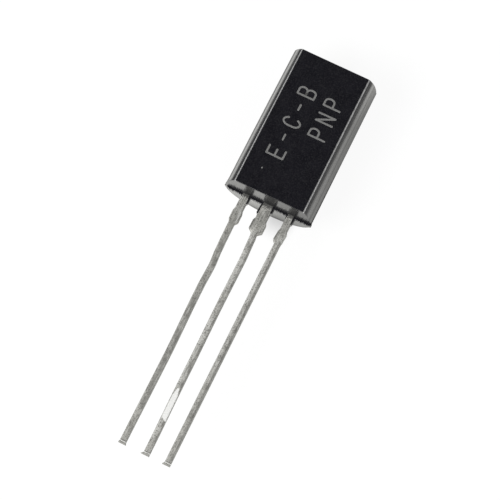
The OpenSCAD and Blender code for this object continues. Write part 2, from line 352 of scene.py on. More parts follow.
def body_grid():
    """Rings of the D outline from the lower end to the upper one. In an end face the outline shrinks to
    the middle and y follows the draft. Over a rim it is set in by RIM_R (1 - sin t) while y runs
    RIM_R (1 - cos t), and between the rims y is straight. The ejector pin's mark flattens the back
    inside a circle. The lean grows as the 1.8th power of the height, and the flare and the corners fade
    to nothing over FLARE_H and CORNER_H. edge is 1 on the rolled edges, side on the round back and end
    on the end faces."""
    x, z, nx, nz, rolled = d_section()
    shrink = END_SHRINK[:, None]
    rim = np.radians(np.linspace(0, 90, 6))[:, None]
    end_x = (x - nx * RIM_R) * shrink
    end_z = (z - nz * RIM_R) * shrink
    inset = RIM_R * (1 - np.sin(rim))
    rim_x = x - nx * inset
    rim_z = z - nz * inset
    rise = RIM_R * (1 - np.cos(rim))
    mark = np.linspace(MARK_Y - MARK_R - 0.05 * MM, MARK_Y + MARK_R + 0.05 * MM, 40)
    below = np.concatenate([[0.06 * MM], np.linspace(0.3 * MM, mark[0], 14)[:-1]])
    above = np.concatenate([np.linspace(mark[-1], BODY_HEIGHT - 0.3 * MM, 5)[1:],
                            [BODY_HEIGHT - 0.06 * MM]])
    run = np.concatenate([below, mark, above])[:, None] / BODY_HEIGHT
    low = draft(z) + RIM_R
    side_y = low + run * (BODY_HEIGHT - 2 * low)
    side_x = np.repeat(x[None], len(run), 0)
    side_z = np.repeat(z[None], len(run), 0)
    marked = (side_x ** 2 + (side_y - MARK_Y) ** 2 < MARK_R ** 2) & (side_z < 0)
    side_z = np.where(marked, np.maximum(side_z, -MARK_FLOOR), side_z)
    low_end = np.stack([end_x, draft(end_z), end_z], -1)
    low_rim = np.stack([rim_x, draft(rim_z) + rise, rim_z], -1)
    side = np.stack([side_x, side_y, side_z], -1)
    upside_down = np.array([1, -1, 1])
    top = np.array([0, BODY_HEIGHT, 0])
    grid = np.concatenate([low_end, low_rim, side, (low_rim * upside_down + top)[::-1],
                           (low_end * upside_down + top)[::-1]])
    x, y, z = grid[..., 0], grid[..., 1], grid[..., 2]
    below_flat = np.clip((FRONT_D - z) / (0.6 * MM), 0, 1)
    left = np.clip(-x / BACK_R, 0, 1)
    lean = LEFT_LEAN * np.clip(y / BODY_HEIGHT, 0, 1) ** 1.8
    flare = LEFT_FLARE * np.clip(1 - y / FLARE_H, 0, 1) ** 2
    corner = np.clip(x / BACK_R, 0, 1) ** 16
    x += left * (0.8 + 0.2 * below_flat) * lean - left ** 2 * below_flat * (LEFT_OUT + flare)
    near_top = np.clip(1 - (BODY_HEIGHT - y) / CORNER_H, 0, 1)
    y += near_top * (left ** 4 * LEFT_TOP - corner * TOP_CORNER)
    off = 0 * low_end[..., 0]
    between_ends = 2 * len(rim) + len(run)
    # The edge values hold the strength of the painted highlight on the rolled edges.
    edge = np.concatenate([off, np.repeat(rolled[None], between_ends, 0), off])
    round_back = np.clip((FRONT_D - 0.15 * MM - side_z[0]) / (0.1 * MM), 0, 1)[None]
    rounded = np.concatenate([off, np.repeat(round_back, between_ends, 0), off])
    turned = np.cos(rim) * np.ones(len(rolled))
    ends = np.concatenate([1 + off, turned, 0 * side_x, turned[::-1], 1 + off])
    return grid, edge, rounded, ends


to_frame = np.array([0, body_end, lead_plane])
grid, edge, rounded, ends = body_grid()
body = closed_mesh("body", [(grid + to_frame, to_frame, to_frame + [0, BODY_HEIGHT, 0])])
# The drafted end faces are flat up to their rims.
rings, around = edge.shape
ring = np.concatenate([np.repeat(np.arange(rings - 1), around), np.zeros(2 * around)])
smooth = (ring >= len(END_SHRINK)) & (ring < rings - 1 - len(END_SHRINK))
body.data.polygons.foreach_set("use_smooth", smooth)
set_attribute(body, "edge", np.concatenate([edge.ravel(), [0, 0]]))
set_attribute(body, "side", np.concatenate([rounded.ravel(), [0, 0]]))
for label in ("end", "matt"):
    set_attribute(body, label, np.concatenate([ends.ravel(), [1, 1]]))


def pattern_group(name, inputs, outputs):
    """An empty shader node group with named number inputs and outputs."""
    group = bpy.data.node_groups.new(name, "ShaderNodeTree")
    for label, value in inputs:
        socket = group.interface.new_socket(label, in_out="INPUT", socket_type="NodeSocketFloat")
        socket.default_value = value
    for label in outputs:
        group.interface.new_socket(label, in_out="OUTPUT", socket_type="NodeSocketFloat")
    return group, group.nodes.new("NodeGroupInput"), group.nodes.new("NodeGroupOutput")


# Streaks that run along the part, and grain: both in the part's own coordinates.
streak_group, entry, leave = pattern_group("lengthwise_streaks", [("Across", 9000.0), ("Along", 300.0)],
                                           ["Streaks"])
place = streak_group.nodes.new("ShaderNodeTexCoord")
size = streak_group.nodes.new("ShaderNodeCombineXYZ")
for label, axis in (("Across", "X"), ("Along", "Y"), ("Across", "Z")):
    streak_group.links.new(entry.outputs[label], size.inputs[axis])
stretch = streak_group.nodes.new("ShaderNodeVectorMath")
stretch.operation = "MULTIPLY"
streak_group.links.new(place.outputs["Object"], stretch.inputs[0])
streak_group.links.new(size.outputs[0], stretch.inputs[1])
noise = streak_group.nodes.new("ShaderNodeTexNoise")
noise.inputs["Scale"].default_value = 1.0
noise.inputs["Detail"].default_value = 3.0
streak_group.links.new(stretch.outputs[0], noise.inputs["Vector"])
streak_group.links.new(noise.outputs["Fac"], leave.inputs["Streaks"])

grain_group, entry, leave = pattern_group("grain", [("Scale", 9000.0), ("Detail", 4.0)], ["Grain"])
place = grain_group.nodes.new("ShaderNodeTexCoord")
noise = grain_group.nodes.new("ShaderNodeTexNoise")
grain_group.links.new(place.outputs["Object"], noise.inputs["Vector"])
for label in ("Scale", "Detail"):
    grain_group.links.new(entry.outputs[label], noise.inputs[label])
grain_group.links.new(noise.outputs["Fac"], leave.inputs["Grain"])


def pattern(tree, group, **values):
    """Places a pattern group in a material and returns its output."""
    node = tree.nodes.new("ShaderNodeGroup")
    node.node_tree = group
    for label, value in values.items():
        node.inputs[label].default_value = value
    return node.outputs[0]


def stored(tree, name):
    """A number stored on the piece's vertices."""
    node = tree.nodes.new("ShaderNodeAttribute")
    node.attribute_name = name
    return node.outputs["Fac"]


def blend_colours(tree, share, first, second):
    """Mixes two colours, given as values or sockets, by a share."""
    node = tree.nodes.new("ShaderNodeMix")
    node.data_type = "RGBA"
    for socket, value in ((node.inputs["Factor"], share), (node.inputs[6], first), (node.inputs[7], second)):
        feed(tree, socket, value)
    return node.outputs[2]


def blend_numbers(tree, share, first, second):
    """Mixes two numbers by a share."""
    node = tree.nodes.new("ShaderNodeMix")
    for socket, value in ((node.inputs["Factor"], share), (node.inputs[2], first), (node.inputs[3], second)):
        feed(tree, socket, value)
    return node.outputs[0]


def bump(tree, height, strength, distance, normal=None):
    """A Bump node's normal."""
    node = tree.nodes.new("ShaderNodeBump")
    node.inputs["Strength"].default_value = strength
    node.inputs["Distance"].default_value = distance
    tree.links.new(height, node.inputs["Height"])
    feed(tree, node.inputs["Normal"], normal)
    return node.outputs["Normal"]


# Satin black with a fine grain and faint clouds. The round back is glossier, with pale flow streaks, the
# ends are plain, and the rolled edges carry a painted highlight.
RESIN = (0.0068, 0.0066, 0.0095)
RESIN_CLOUD = (0.0100, 0.0097, 0.0132)
RESIN_GRAIN = (0.0180, 0.0177, 0.0205)
RESIN_STREAK = (0.075, 0.075, 0.073)
RESIN_END = (0.012, 0.012, 0.013)
RESIN_EDGE_HIGHLIGHT = (0.48, 0.48, 0.475)
resin, tree, output = new_material("black_resin")
shader = tree.nodes.new("ShaderNodeBsdfPrincipled")
shader.inputs["IOR"].default_value = 1.75
shader.inputs["Metallic"].default_value = 0.0
streaks = pattern(tree, streak_group, Across=13000.0, Along=150.0)
fine_streaks = pattern(tree, streak_group, Across=30000.0, Along=900.0)
grain = pattern(tree, grain_group, Scale=17000.0, Detail=5.0)
clouds = pattern(tree, grain_group, Scale=1500.0, Detail=4.0)
on_side = stored(tree, "side")
on_end = stored(tree, "end")
tint = blend_colours(tree, ramp(tree, clouds, 0.35, 0.65, 0.0, 1.0), RESIN, RESIN_CLOUD)
tint = blend_colours(tree, ramp(tree, grain, 0.46, 0.66, 0.0, 1.0), tint, RESIN_GRAIN)
streaked = product(tree, on_side, ramp(tree, streaks, 0.50, 0.66, 0.0, 1.0))
tint = blend_colours(tree, streaked, tint, RESIN_STREAK)
tint = blend_colours(tree, on_end, tint, RESIN_END)
# Painted highlight along the rolled edges, broken up by the grain.
lightened = product(tree, stored(tree, "edge"), ramp(tree, grain, 0.3, 0.6, 0.5, 1.0))
tint = blend_colours(tree, lightened, tint, RESIN_EDGE_HIGHLIGHT)
tree.links.new(tint, shader.inputs["Base Color"])
satin = ramp(tree, grain, 0.3, 0.7, 0.20, 0.26)
glossy = ramp(tree, fine_streaks, 0.3, 0.7, 0.12, 0.22)
plain = ramp(tree, grain, 0.3, 0.7, 0.16, 0.24)
roughness = blend_numbers(tree, stored(tree, "matt"), blend_numbers(tree, on_side, satin, glossy), plain)
tree.links.new(roughness, shader.inputs["Roughness"])
relief = bump(tree, grain, 0.10, 0.004 * MM)
tree.links.new(bump(tree, product(tree, on_side, streaks), 0.5, 0.006 * MM, relief), shader.inputs["Normal"])

# Painted shade: the front of the lower end face is made dull above each lead, which darkens its reflection
# there: from and to (mm). A column leans with its height and has a frayed border. The witness line is as
# dull near that end, and the upper end is left plain.
SHADE_COLUMNS = [(-1.41, -1.0), (-0.21, 0.295), (1.175, 1.56)]
COLUMN_LEAN = 0.07
COLUMN_BORDER = 0.06
COLUMN_SPAN = 4.0
COLUMN_SHADE = 0.96
WITNESS_SHARE = 0.85
DULL_RESIN = (0.008, 0.008, 0.009)
DULL_RESIN_PALE = (0.034, 0.034, 0.034)
dull_skin = tree.nodes.new("ShaderNodeBsdfPrincipled")
dull_skin.inputs["IOR"].default_value = 1.12
dull_skin.inputs["Roughness"].default_value = 0.35
tree.links.new(blend_colours(tree, ramp(tree, grain, 0.35, 0.65, 0.0, 1.0), DULL_RESIN, DULL_RESIN_PALE),
               dull_skin.inputs["Base Color"])
body_x, body_y, body_z = coordinates(tree)
over_leads = math_node(tree, "SUBTRACT", body_z, lead_plane)
frayed = math_node(tree, "ADD", math_node(tree, "SUBTRACT", body_x, product(tree, over_leads, COLUMN_LEAN)),
                   ramp(tree, grain, 0.3, 0.7, -0.05 * MM, 0.05 * MM))
columns = tree.nodes.new("ShaderNodeValToRGB")
tree.links.new(math_node(tree, "ADD", math_node(tree, "DIVIDE", frayed, COLUMN_SPAN * MM), 0.5),
               columns.inputs[0])
columns.color_ramp.elements.remove(columns.color_ramp.elements[1])
columns.color_ramp.elements[0].color = (0, 0, 0, 1)
for left, right in SHADE_COLUMNS:
    for edge_at, step in ((left, 1), (right, -1)):
        for offset, value in ((-COLUMN_BORDER, 0), (COLUMN_BORDER, 1)):
            stop = columns.color_ramp.elements.new((edge_at + step * offset) / COLUMN_SPAN + 0.5)
            stop.color = (value, value, value, 1)
# Painted shade: the end face's reflection is dulled above each lead.
shaded_columns = product(tree, columns.outputs[0], on_end,
                  ramp(tree, body_y, body_end + 1 * MM, body_end + 2 * MM, COLUMN_SHADE, 0.0),
                  ramp(tree, body_z, lead_plane - 0.3 * MM, lead_plane, 0.0, 1.0))
off_plane = math_node(tree, "ABSOLUTE", over_leads)
witness = product(tree, ramp(tree, off_plane, 0.12 * MM, 0.34 * MM, WITNESS_SHARE, 0.0), on_side,
                  ramp(tree, body_y, body_end + 1.5 * MM, body_end + 4.5 * MM, 1.0, 0.0))
skin = tree.nodes.new("ShaderNodeMixShader")
tree.links.new(math_node(tree, "MAXIMUM", shaded_columns, witness), skin.inputs["Fac"])
tree.links.new(shader.outputs[0], skin.inputs[1])
tree.links.new(dull_skin.outputs[0], skin.inputs[2])
tree.links.new(skin.outputs[0], output.inputs["Surface"])
body.data.materials.append(resin)
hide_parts("moulded_body")
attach(body, "root")

# ---------------------------------------------------------------------------
# Resin flash
# Resin that filled the lead frame's plane between the body and the dam bar. It was left on when the
# bars were cut off: a strip under the body, with fillets and thin runs down the edges of the leads.
# ---------------------------------------------------------------------------
PITCH = 1.27 * MM
LEAD_T = lead_high.z - lead_low.z
NECK_X = np.array([-1.255, 0.015, 1.32]) * MM
NECK_W = np.array([0.43, 0.61, 0.39]) * MM
FLASH_H = 0.12 * MM
FLASH_HALF = body_high.x
FLASH_FROM = 0.13 * MM - FLASH_HALF
FLASH_FILLET = 0.12 * MM
FLASH_EDGE = 0.03 * MM
FLASH_TAPER = 0.35 * MM
FILLET_CLEAR = 0.3 * MM
FLASH_SET_IN = 0.006 * MM
FLASH_INSIDE = 0.05 * MM
flash_z = LEAD_T / 2 - FLASH_SET_IN


def flash_height(x):
    """How far the strip reaches below the body at x: deepest at the leads and shallower as a cosine
    between them, with a broken edge of sines, a quarter ellipse over FLASH_TAPER at both ends, and a
    concave quarter circle against each lead."""
    height = FLASH_H * (1.06 + 0.09 * np.cos(2 * math.pi * x / PITCH)
                        + 0.07 * np.sin(9.1 * x / MM) * np.sin(21.7 * x / MM + 1.3)
                        + 0.11 * np.sin(43.0 * x / MM + 2.0 * np.sin(11.0 * x / MM)))
    ends = np.where(x < 0, FLASH_FROM - x, x - FLASH_HALF) + FLASH_TAPER
    corner = np.clip(ends / FLASH_TAPER, 0, 1)
    height = height * (0.2 + 0.8 * np.sqrt(1 - corner ** 2))
    for middle, width in zip(NECK_X, NECK_W):
        out = np.clip((np.abs(x - middle) - width / 2) / FLASH_FILLET, 0, 1)
        fillet = 0.8 * FLASH_H + FLASH_FILLET * (1 - np.sqrt(1 - (1 - out) ** 2))
        height = np.where(np.abs(x) < FLASH_HALF - FILLET_CLEAR, np.maximum(height, fillet), height)
    return height


def capped(grid):
    """A grid in the part's frame, with the middles of its first and last ring as its poles."""
    return grid + to_frame, grid[0].mean(0) + to_frame, grid[-1].mean(0) + to_frame


def flash_strip():
    """The strip's section, carried along X: straight sides, and a low edge rounded by FLASH_EDGE."""
    x = np.linspace(FLASH_FROM, FLASH_HALF, 420)[:, None]
    turn = np.radians(np.linspace(0, 90, 5))
    half_z = np.concatenate([[flash_z, flash_z], flash_z - FLASH_EDGE * (1 - np.cos(turn))])
    inside = np.concatenate([[0.06 * MM, 0.03 * MM], 0 * turn])
    low = np.concatenate([[0, 0], FLASH_EDGE * (np.sin(turn) - 1)])
    on_edge = np.concatenate([[0, 0], np.ones(len(turn))])
    y = inside - on_edge * (flash_height(x) + low)
    front = np.stack([x + 0 * y, y, half_z + 0 * y], -1)
    back = (front * np.array([1, 1, -1]))[:, ::-1]
    return capped(np.concatenate([front, back], 1))


def resin_run(x, side, top, end, length):
    """A run of resin down a lead's edge: a flattened ellipse in section, whose width goes from top to
    end and closes as a quarter circle at its tip."""
    t = np.linspace(0, 1, 26)[:, None]
    turn = np.linspace(0, 2 * math.pi, 20, endpoint=False)
    width = (top + (end - top) * t) * np.sqrt(np.clip(1 - np.clip((t - 0.85) / 0.15, 0, 1) ** 2, 0.002, 1))
    out = side * width * np.sign(np.cos(turn)) * np.abs(np.cos(turn)) ** 0.6
    z = flash_z * np.sign(np.sin(turn)) * np.abs(np.sin(turn)) ** 0.35
    y = FLASH_INSIDE - (length + FLASH_INSIDE) * t
    return capped(np.stack([x + out, y + 0 * out, z + 0 * out], -1))


# The runs: lead, side of it, width at the body and at the tip, and length (mm).
RUNS = [(0, 1, 0.10, 0.06, 0.48), (1, -1, 0.04, 0.10, 0.67), (1, 1, 0.11, 0.07, 0.40),
        (2, 1, 0.10, 0.07, 0.47), (2, -1, 0.05, 0.02, 0.33)]
shells = [flash_strip()]
for lead, side, top, end, length in RUNS:
    shells.append(resin_run(NECK_X[lead] + side * NECK_W[lead] / 2, side, top * MM, end * MM, length * MM))
flash = closed_mesh("resin_flash", shells)
for label, value in (("matt", 1.0), ("end", 0.1)):
    set_attribute(flash, label, np.full(len(flash.data.vertices), value))
flash.data.materials.append(resin)
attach(flash, "root")

# ---------------------------------------------------------------------------
# Pin legend
# Marks burnt into the flat face by a laser, which leaves the resin pale: the order of the pins in
# plain letters, and the transistor's polarity. Each mark is made of thin strokes with round ends.
# ---------------------------------------------------------------------------
STROKE_W = 0.105 * MM
STROKE_RISE = 0.004 * MM
LETTER_H = 1.02 * MM
LETTER_W = 0.53 * MM
LETTER_STEP = 0.895 * MM
FIRST_LETTER = 2.39 * MM
LEGEND_ROWS = [(-0.666 * MM, "E-C-B"), (0.827 * MM, "  PNP")]
LEGEND_SKEW = math.tan(math.radians(0.9))
LEGEND_MIDDLE = 5.07 * MM
CHIP = (-1.0 * MM, 1.325 * MM)
CHIP_W = 0.075 * MM


def arc(middle_x, middle_y, wide, high, start, stop):
    """Points of an elliptical arc between two angles in degrees."""
    turn = np.radians(start + (stop - start) * np.linspace(0, 1, 17))
    return np.stack([middle_x + wide * np.cos(turn), middle_y + high * np.sin(turn)], -1)


def line(*points):
    """A path straight from point to point."""
    return np.array(points, float)


def bowl(bottom, top):
    """The round part of a B or P, open to the stem."""
    high = (top - bottom) / 2
    return np.vstack([[(0, bottom)], arc(0.6, bottom + high, 0.4, high, -90, 90), [(0, top)]])


LETTERS = {
    "E": [line((0, 0), (0, 1)), line((0, 1), (1, 1)), line((0, 0.5), (0.85, 0.5)), line((0, 0), (1, 0))],
    "C": [np.vstack([arc(0.5, 0.62, 0.5, 0.38, 25, 180), arc(0.5, 0.38, 0.5, 0.38, 180, 335)])],
    "B": [line((0, 0), (0, 1)), bowl(0, 0.52), bowl(0.52, 1)],
    "P": [line((0, 0), (0, 1)), bowl(0.46, 1)],
    "N": [line((0, 0), (0, 1)), line((0, 1), (1, 0)), line((1, 0), (1, 1))],
    "-": [line((0.15, 0.5), (0.85, 0.5))],
}


def stroke(path, width=STROKE_W):
    """A thin bead along a path in the face: an ellipse width wide and STROKE_RISE high, closed at
    both ends by round tips of the same width."""
    step = np.linalg.norm(np.diff(path, axis=0), axis=1)
    along = np.concatenate([[0], np.cumsum(step)])
    tip = width / 2
    turn = np.linspace(0, math.pi / 2, 6)[1:]
    middle = np.linspace(0, along[-1], 24)[1:-1]
    ahead = np.concatenate([-tip * np.cos(turn), middle, along[-1] + tip * np.cos(turn[::-1])])
    size = np.concatenate([np.sin(turn), np.ones(len(middle)), np.sin(turn[::-1])])[:, None]
    inside = np.clip(ahead, 0, along[-1])
    reach = 0.01 * MM
    at, before, after = (np.stack([np.interp(inside + shift, along, path[:, n]) for n in range(2)], -1)
                         for shift in (0, -reach, reach))
    onward = (after - before) / np.linalg.norm(after - before, axis=1)[:, None]
    at = at + (ahead - inside)[:, None] * onward
    ring = np.linspace(0, 2 * math.pi, 12, endpoint=False)
    side = tip * size * np.cos(ring)
    z = FRONT_D + STROKE_RISE * size * np.sin(ring)
    return capped(np.stack([at[:, :1] - onward[:, 1:] * side, at[:, 1:] + onward[:, :1] * side, z], -1))


def letter_strokes(letter, row_x, middle_y):
    """A letter's strokes on the face. It reads up the body: its right is +Y and its top is -X."""
    found = []
    for path in LETTERS[letter]:
        y = middle_y + (path[:, 0] - 0.5) * (LETTER_W - STROKE_W)
        x = row_x - (path[:, 1] - 0.5) * (LETTER_H - STROKE_W) + LEGEND_SKEW * (y - LEGEND_MIDDLE)
        found.append(stroke(np.stack([x, y], -1)))
    return found


# One small chip in the face shows as pale as the letters.
shells = []
for row_x, word in LEGEND_ROWS:
    for place, letter in enumerate(word):
        if letter != " ":
            shells += letter_strokes(letter, row_x, FIRST_LETTER + place * LETTER_STEP)
shells.append(stroke(np.array([CHIP, CHIP]) + np.array([[0, -1], [1, 1]]) * 0.01 * MM, CHIP_W))
legend = closed_mesh("pin_legend", shells)
BURNT = (0.14, 0.14, 0.135)
BURNT_PALE = (0.23, 0.23, 0.225)
burnt, tree, output = new_material("burnt_mark")
shader = tree.nodes.new("ShaderNodeBsdfPrincipled")
tree.links.new(shader.outputs[0], output.inputs["Surface"])
shader.inputs["Roughness"].default_value = 0.75
speckle = pattern(tree, grain_group, Scale=26000.0, Detail=4.0)
tree.links.new(blend_colours(tree, ramp(tree, speckle, 0.35, 0.65, 0.0, 1.0), BURNT, BURNT_PALE),
               shader.inputs["Base Color"])
tree.links.new(bump(tree, speckle, 0.2, 0.004 * MM), shader.inputs["Normal"])
legend.data.materials.append(burnt)
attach(legend, "root")

# ---------------------------------------------------------------------------
# Leads
# Three strips of one lead frame, stamped from sheet and dull tinned after the body was moulded. The
# dam bars were cut off at the wide stubs and the rails at the tips, which left dark cut faces and burrs.
# ---------------------------------------------------------------------------
LEAD_LEN = body_end - lead_low.y
LEAD_W = 0.33 * MM
STUB_TOP = 0.95 * MM
STUB_H = 0.57 * MM
TAPER_H = 0.17 * MM
STEP_H = 0.18 * MM
BURR_H = 0.12 * MM
EDGE_ROLL = 0.1 * MM
EDGE_DROP = 0.025 * MM
TIP_BEVEL = 0.05 * MM
CORNER_POINTS = 7

# Each lead: node, neck and stub as (width, shift across), the width of the cut slope down the left and
# the right of its stub, the burr to the left and right of its tip, its bends as (distance below the
# body, shift across), and what it carries inside as (height, half width, shift across), in millimetres.
POST = [(0.95, 0.5, 0.08), (2.1, 0.5, 0.08), (2.35, 0.25, 0.08)]
PAD = [(2.8, 1.2, 0), (3.05, 1.45, 0), (5.95, 1.45, 0), (6.2, 1.2, 0)]
LEADS = [
    ("emitter_lead", (0.43, 0.015), (0.54, 0.02), (0.03, 0.1), (0.045, 0.045),
     [(1.72, -0.01), (2.6, 0.0), (3.23, 0.018), (4.13, 0.073), (5.33, 0.042), (9.43, 0.106), (14.28, 0.09)],
     [(h, w, -s) for h, w, s in POST]),
    ("collector_lead", (0.61, 0.015), (0.77, 0.01), (0.1, 0.03), (0.13, 0.0),
     [(1.72, 0.02), (2.0, 0.05), (3.23, 0.095), (5.53, 0.084), (9.43, 0.118), (14.28, 0.167)], PAD),
    ("base_lead", (0.39, 0.05), (0.51, 0.015), (0.08, 0.03), (0.1, 0.0),
     [(1.72, 0.074), (5.93, 0.071), (14.28, 0.069)], POST),
]


def smooth_steps(y, places, values):
    """values at places, carried from each to the next by a smooth step."""
    places = np.asarray(places)
    values = np.asarray(values)
    n = np.clip(np.searchsorted(places, y, side="right") - 1, 0, len(places) - 2)
    t = np.clip((y - places[n]) / (places[n + 1] - places[n]), 0, 1)
    return values[n] + (values[n + 1] - values[n]) * t * t * (3 - 2 * t)


def lead_grid(middle, neck, stub, slopes, burrs, bends, inner):
    """A rounded rectangle carried down the lead, whose sides follow the lead's outline: half its width
    goes straight from place to place, and its middle in smooth steps. The front corners are quarter
    ellipses EDGE_ROLL wide and EDGE_DROP deep, and slopes as deep as wide beside a stub. At the tip the
    sides flare by the burrs, and the front dips, lifts and is bevelled. Also gives the place across the
    front (-1 left, 1 right, 2 off the front) and how dark it is: 1 on cut faces, and painted shade
    that grows over the rounded corners towards the sides."""
    top = inner[-1][0] * MM
    y = np.unique(np.round(np.concatenate([
        np.linspace(top, 0, 60), np.linspace(0, -2.1 * MM, 120), np.linspace(-2.1 * MM, -LEAD_LEN, 380),
        np.linspace(-LEAD_LEN + 0.3 * MM, -LEAD_LEN, 40)]), 8))[::-1]
    low = -STUB_TOP - STUB_H
    places = np.array([-LEAD_LEN, low - TAPER_H, low, -STUB_TOP - STEP_H / 2, -STUB_TOP + STEP_H / 2,
                       inner[0][0] * MM - 2e-5] + [h * MM for h, w, s in inner])
    halves = np.array([LEAD_W, LEAD_W, stub[0] * MM, stub[0] * MM, neck[0] * MM, neck[0] * MM]
                      + [w * 2 * MM for h, w, s in inner]) / 2
    half = np.interp(y, places, halves)
    shift_places = [-d * MM for d, s in bends[::-1]] + [low, -STUB_TOP, 0.3 * MM, inner[0][0] * MM, top]
    shift_values = [s * MM for d, s in bends[::-1]] + [stub[1] * MM, neck[1] * MM, neck[1] * MM,
                                                       inner[0][2] * MM, inner[-1][2] * MM]
    shift = smooth_steps(y, shift_places, shift_values)
    tip = (y + LEAD_LEN) / BURR_H
    flare = np.clip(1 - tip, 0, 1) ** 1.2
    left = middle + shift - half - burrs[0] * MM * flare
    right = middle + shift + half + burrs[1] * MM * flare
    lift = 0.03 * MM * np.exp(-((tip - 0.6) / 0.22) ** 2) - 0.02 * MM * np.exp(-((tip - 1.0) / 0.12) ** 2)
    bevel = np.clip(1 - (y + LEAD_LEN) / TIP_BEVEL, 0, 1) * TIP_BEVEL
    front = LEAD_T / 2 + lift - bevel
    beside_stub = smooth_steps(y, [low - TAPER_H, low, -STUB_TOP - STEP_H / 2, -STUB_TOP + STEP_H],
                               [0, 1, 1, 0])
    beside_stub = beside_stub * (y > low - TAPER_H) * (y < -STUB_TOP + STEP_H)
    end = np.array([[1, 1], [0.93, 0.95], [0.6, 0.6]])
    ring = np.concatenate([np.arange(len(y)), np.full(len(end), len(y) - 1)])
    wide = np.concatenate([np.ones(len(y)), end[:, 0]])
    deep = np.concatenate([np.ones(len(y)), end[:, 1]])
    bevelled = np.clip(1.15 - (y + LEAD_LEN) / TIP_BEVEL, 0, 1)
    on_end = np.concatenate([bevelled, [1, 1, 1]])
    rounds = np.concatenate([np.zeros(len(y)), [0, 1, 1]]) * 0.004 * MM
    sections = []
    cuts = []
    corners = ((1, 1, 90, 0), (1, -1, 0, -90), (-1, -1, -90, -180), (-1, 1, 180, 90))
    for across, over, start, stop in corners:
        turn = np.radians(np.linspace(start, stop, CORNER_POINTS))
        slope = slopes[1 if across > 0 else 0] * MM
        roll_x = EDGE_ROLL + (slope - EDGE_ROLL) * beside_stub if over > 0 else 0.3 * EDGE_ROLL + 0 * y
        roll_z = EDGE_DROP + (slope - EDGE_DROP) * beside_stub if over > 0 else EDGE_DROP + 0 * y
        edge_x = right if across > 0 else left
        edge_z = front if over > 0 else 0 * front - LEAD_T / 2
        x = edge_x[:, None] + roll_x[:, None] * (np.cos(turn) - across)
        z = edge_z[:, None] + roll_z[:, None] * (np.sin(turn) - over)
        sections.append(np.stack([x, z], -1))
        # Painted shade over the rounded corners, darkest on the sides. Beside a stub it follows the cut
        # slope.
        steep = 3 - 2 * beside_stub[:, None] if over > 0 else 3 + 0 * beside_stub[:, None]
        cuts.append(np.abs(np.cos(turn))[None] ** steep)
    t = np.linspace(0, 1, 12)[1:-1, None, None]
    sections.append(np.moveaxis(sections[3][:, -1] * (1 - t) + sections[0][:, 0] * t, 0, 1))
    cuts.append(np.zeros((len(y), len(t))))
    section = np.concatenate(sections, 1)
    spread = (section[..., 0] - (middle + shift)[:, None]) / half[:, None]
    spread[:, CORNER_POINTS:3 * CORNER_POINTS] = 2
    centre = (middle + shift)[ring, None]
    x = centre + (section[ring, :, 0] - centre) * wide[:, None]
    grid = np.stack([x, (y[ring] - rounds)[:, None] + 0 * x, section[ring, :, 1] * deep[:, None]], -1)
    return grid, spread[ring], np.maximum(np.concatenate(cuts, 1)[ring], on_end[:, None])


def soft_step(value, low, high):
    """0 below low, 1 above high, and a smooth step between them."""
    t = np.clip((value - low) / (high - low), 0, 1)
    return t * t * (3 - 2 * t)


def dark_line(below, spread, line_at, weight):
    """Painted shade on the long part: a soft dark line down the front at line_at across, as strong as
    weight, a groove across the lead just above the burr at its tip, and the burr's own rim."""
    beside = weight * np.exp(-((spread - line_at) / 0.26) ** 2) * (below > STUB_TOP + STUB_H)
    groove = 0.85 * np.exp(-((LEAD_LEN - below - 0.175 * MM) / (0.022 * MM)) ** 2) * (spread < 1.2)
    rim = 0.55 * soft_step(below, LEAD_LEN - 0.1 * MM, LEAD_LEN - 0.075 * MM) * (spread < 1.5)
    return np.maximum(np.maximum(beside, groove), rim)


def stub_line(below, spread, line_at, weight, width):
    """A line along the stub's cut, across the front at line_at."""
    on_stub = soft_step(below, STUB_TOP - 0.05 * MM, STUB_TOP + 0.1 * MM) * (1 - soft_step(
        below, STUB_TOP + STUB_H, STUB_TOP + STUB_H + TAPER_H))
    return weight * on_stub * np.exp(-((spread - line_at) / width) ** 2)


def bright_lip(below, spread):
    """A painted highlight on the burr's lip, across the lead."""
    lip = soft_step(below, LEAD_LEN - 0.155 * MM, LEAD_LEN - 0.135 * MM)
    lip = lip * (1 - soft_step(below, LEAD_LEN - 0.11 * MM, LEAD_LEN - 0.09 * MM))
    return 0.75 * lip * (spread < 1.5)


def glint_patch(below, spread, patch):
    """A painted glint on the front: from and to (mm below the body) and its left and right limits
    across, with soft borders, pointed at its upper end and slanted at its lower one."""
    start, stop, left, right = patch
    along = below / MM
    narrow = 0.5 * (1 - soft_step(along, start, start + 0.5))
    inside = soft_step(spread, left + narrow - 0.12, left + narrow + 0.12)
    inside = inside * (1 - soft_step(spread, right - narrow - 0.12, right - narrow + 0.12))
    stop = stop + 0.1 * spread
    return inside * soft_step(along, start - 0.03, start + 0.06) * (
        1 - soft_step(along, stop - 0.04, stop + 0.04))


# Dull tin in paler and darker patches, with dark pits and bright scratches. It is made lighter or darker
# along each lead by a stored value, cut faces are dark, painted shade darkens lines down the fronts and the
# rounded sides, painted highlights are pale, and the film is resin that bled down the lead.
TIN = (0.46, 0.455, 0.42)
TIN_PALE = (0.62, 0.615, 0.57)
TIN_LIGHT = (0.86, 0.855, 0.81)
TIN_DARK = (0.2, 0.198, 0.185)
TIN_PIT = (0.25, 0.247, 0.227)
TIN_SCRATCH = (0.82, 0.815, 0.77)
LEAD_SHADE = (0.07, 0.068, 0.064)
CUT_AND_SHADE = (0.30, 0.297, 0.28)
GLINT = (0.99, 0.99, 0.97)
RESIN_FILM = (0.068, 0.067, 0.065)
tin, tree, output = new_material("dull_tin")
shader = tree.nodes.new("ShaderNodeBsdfPrincipled")
tree.links.new(shader.outputs[0], output.inputs["Surface"])
patches = pattern(tree, grain_group, Scale=2200.0, Detail=4.0)
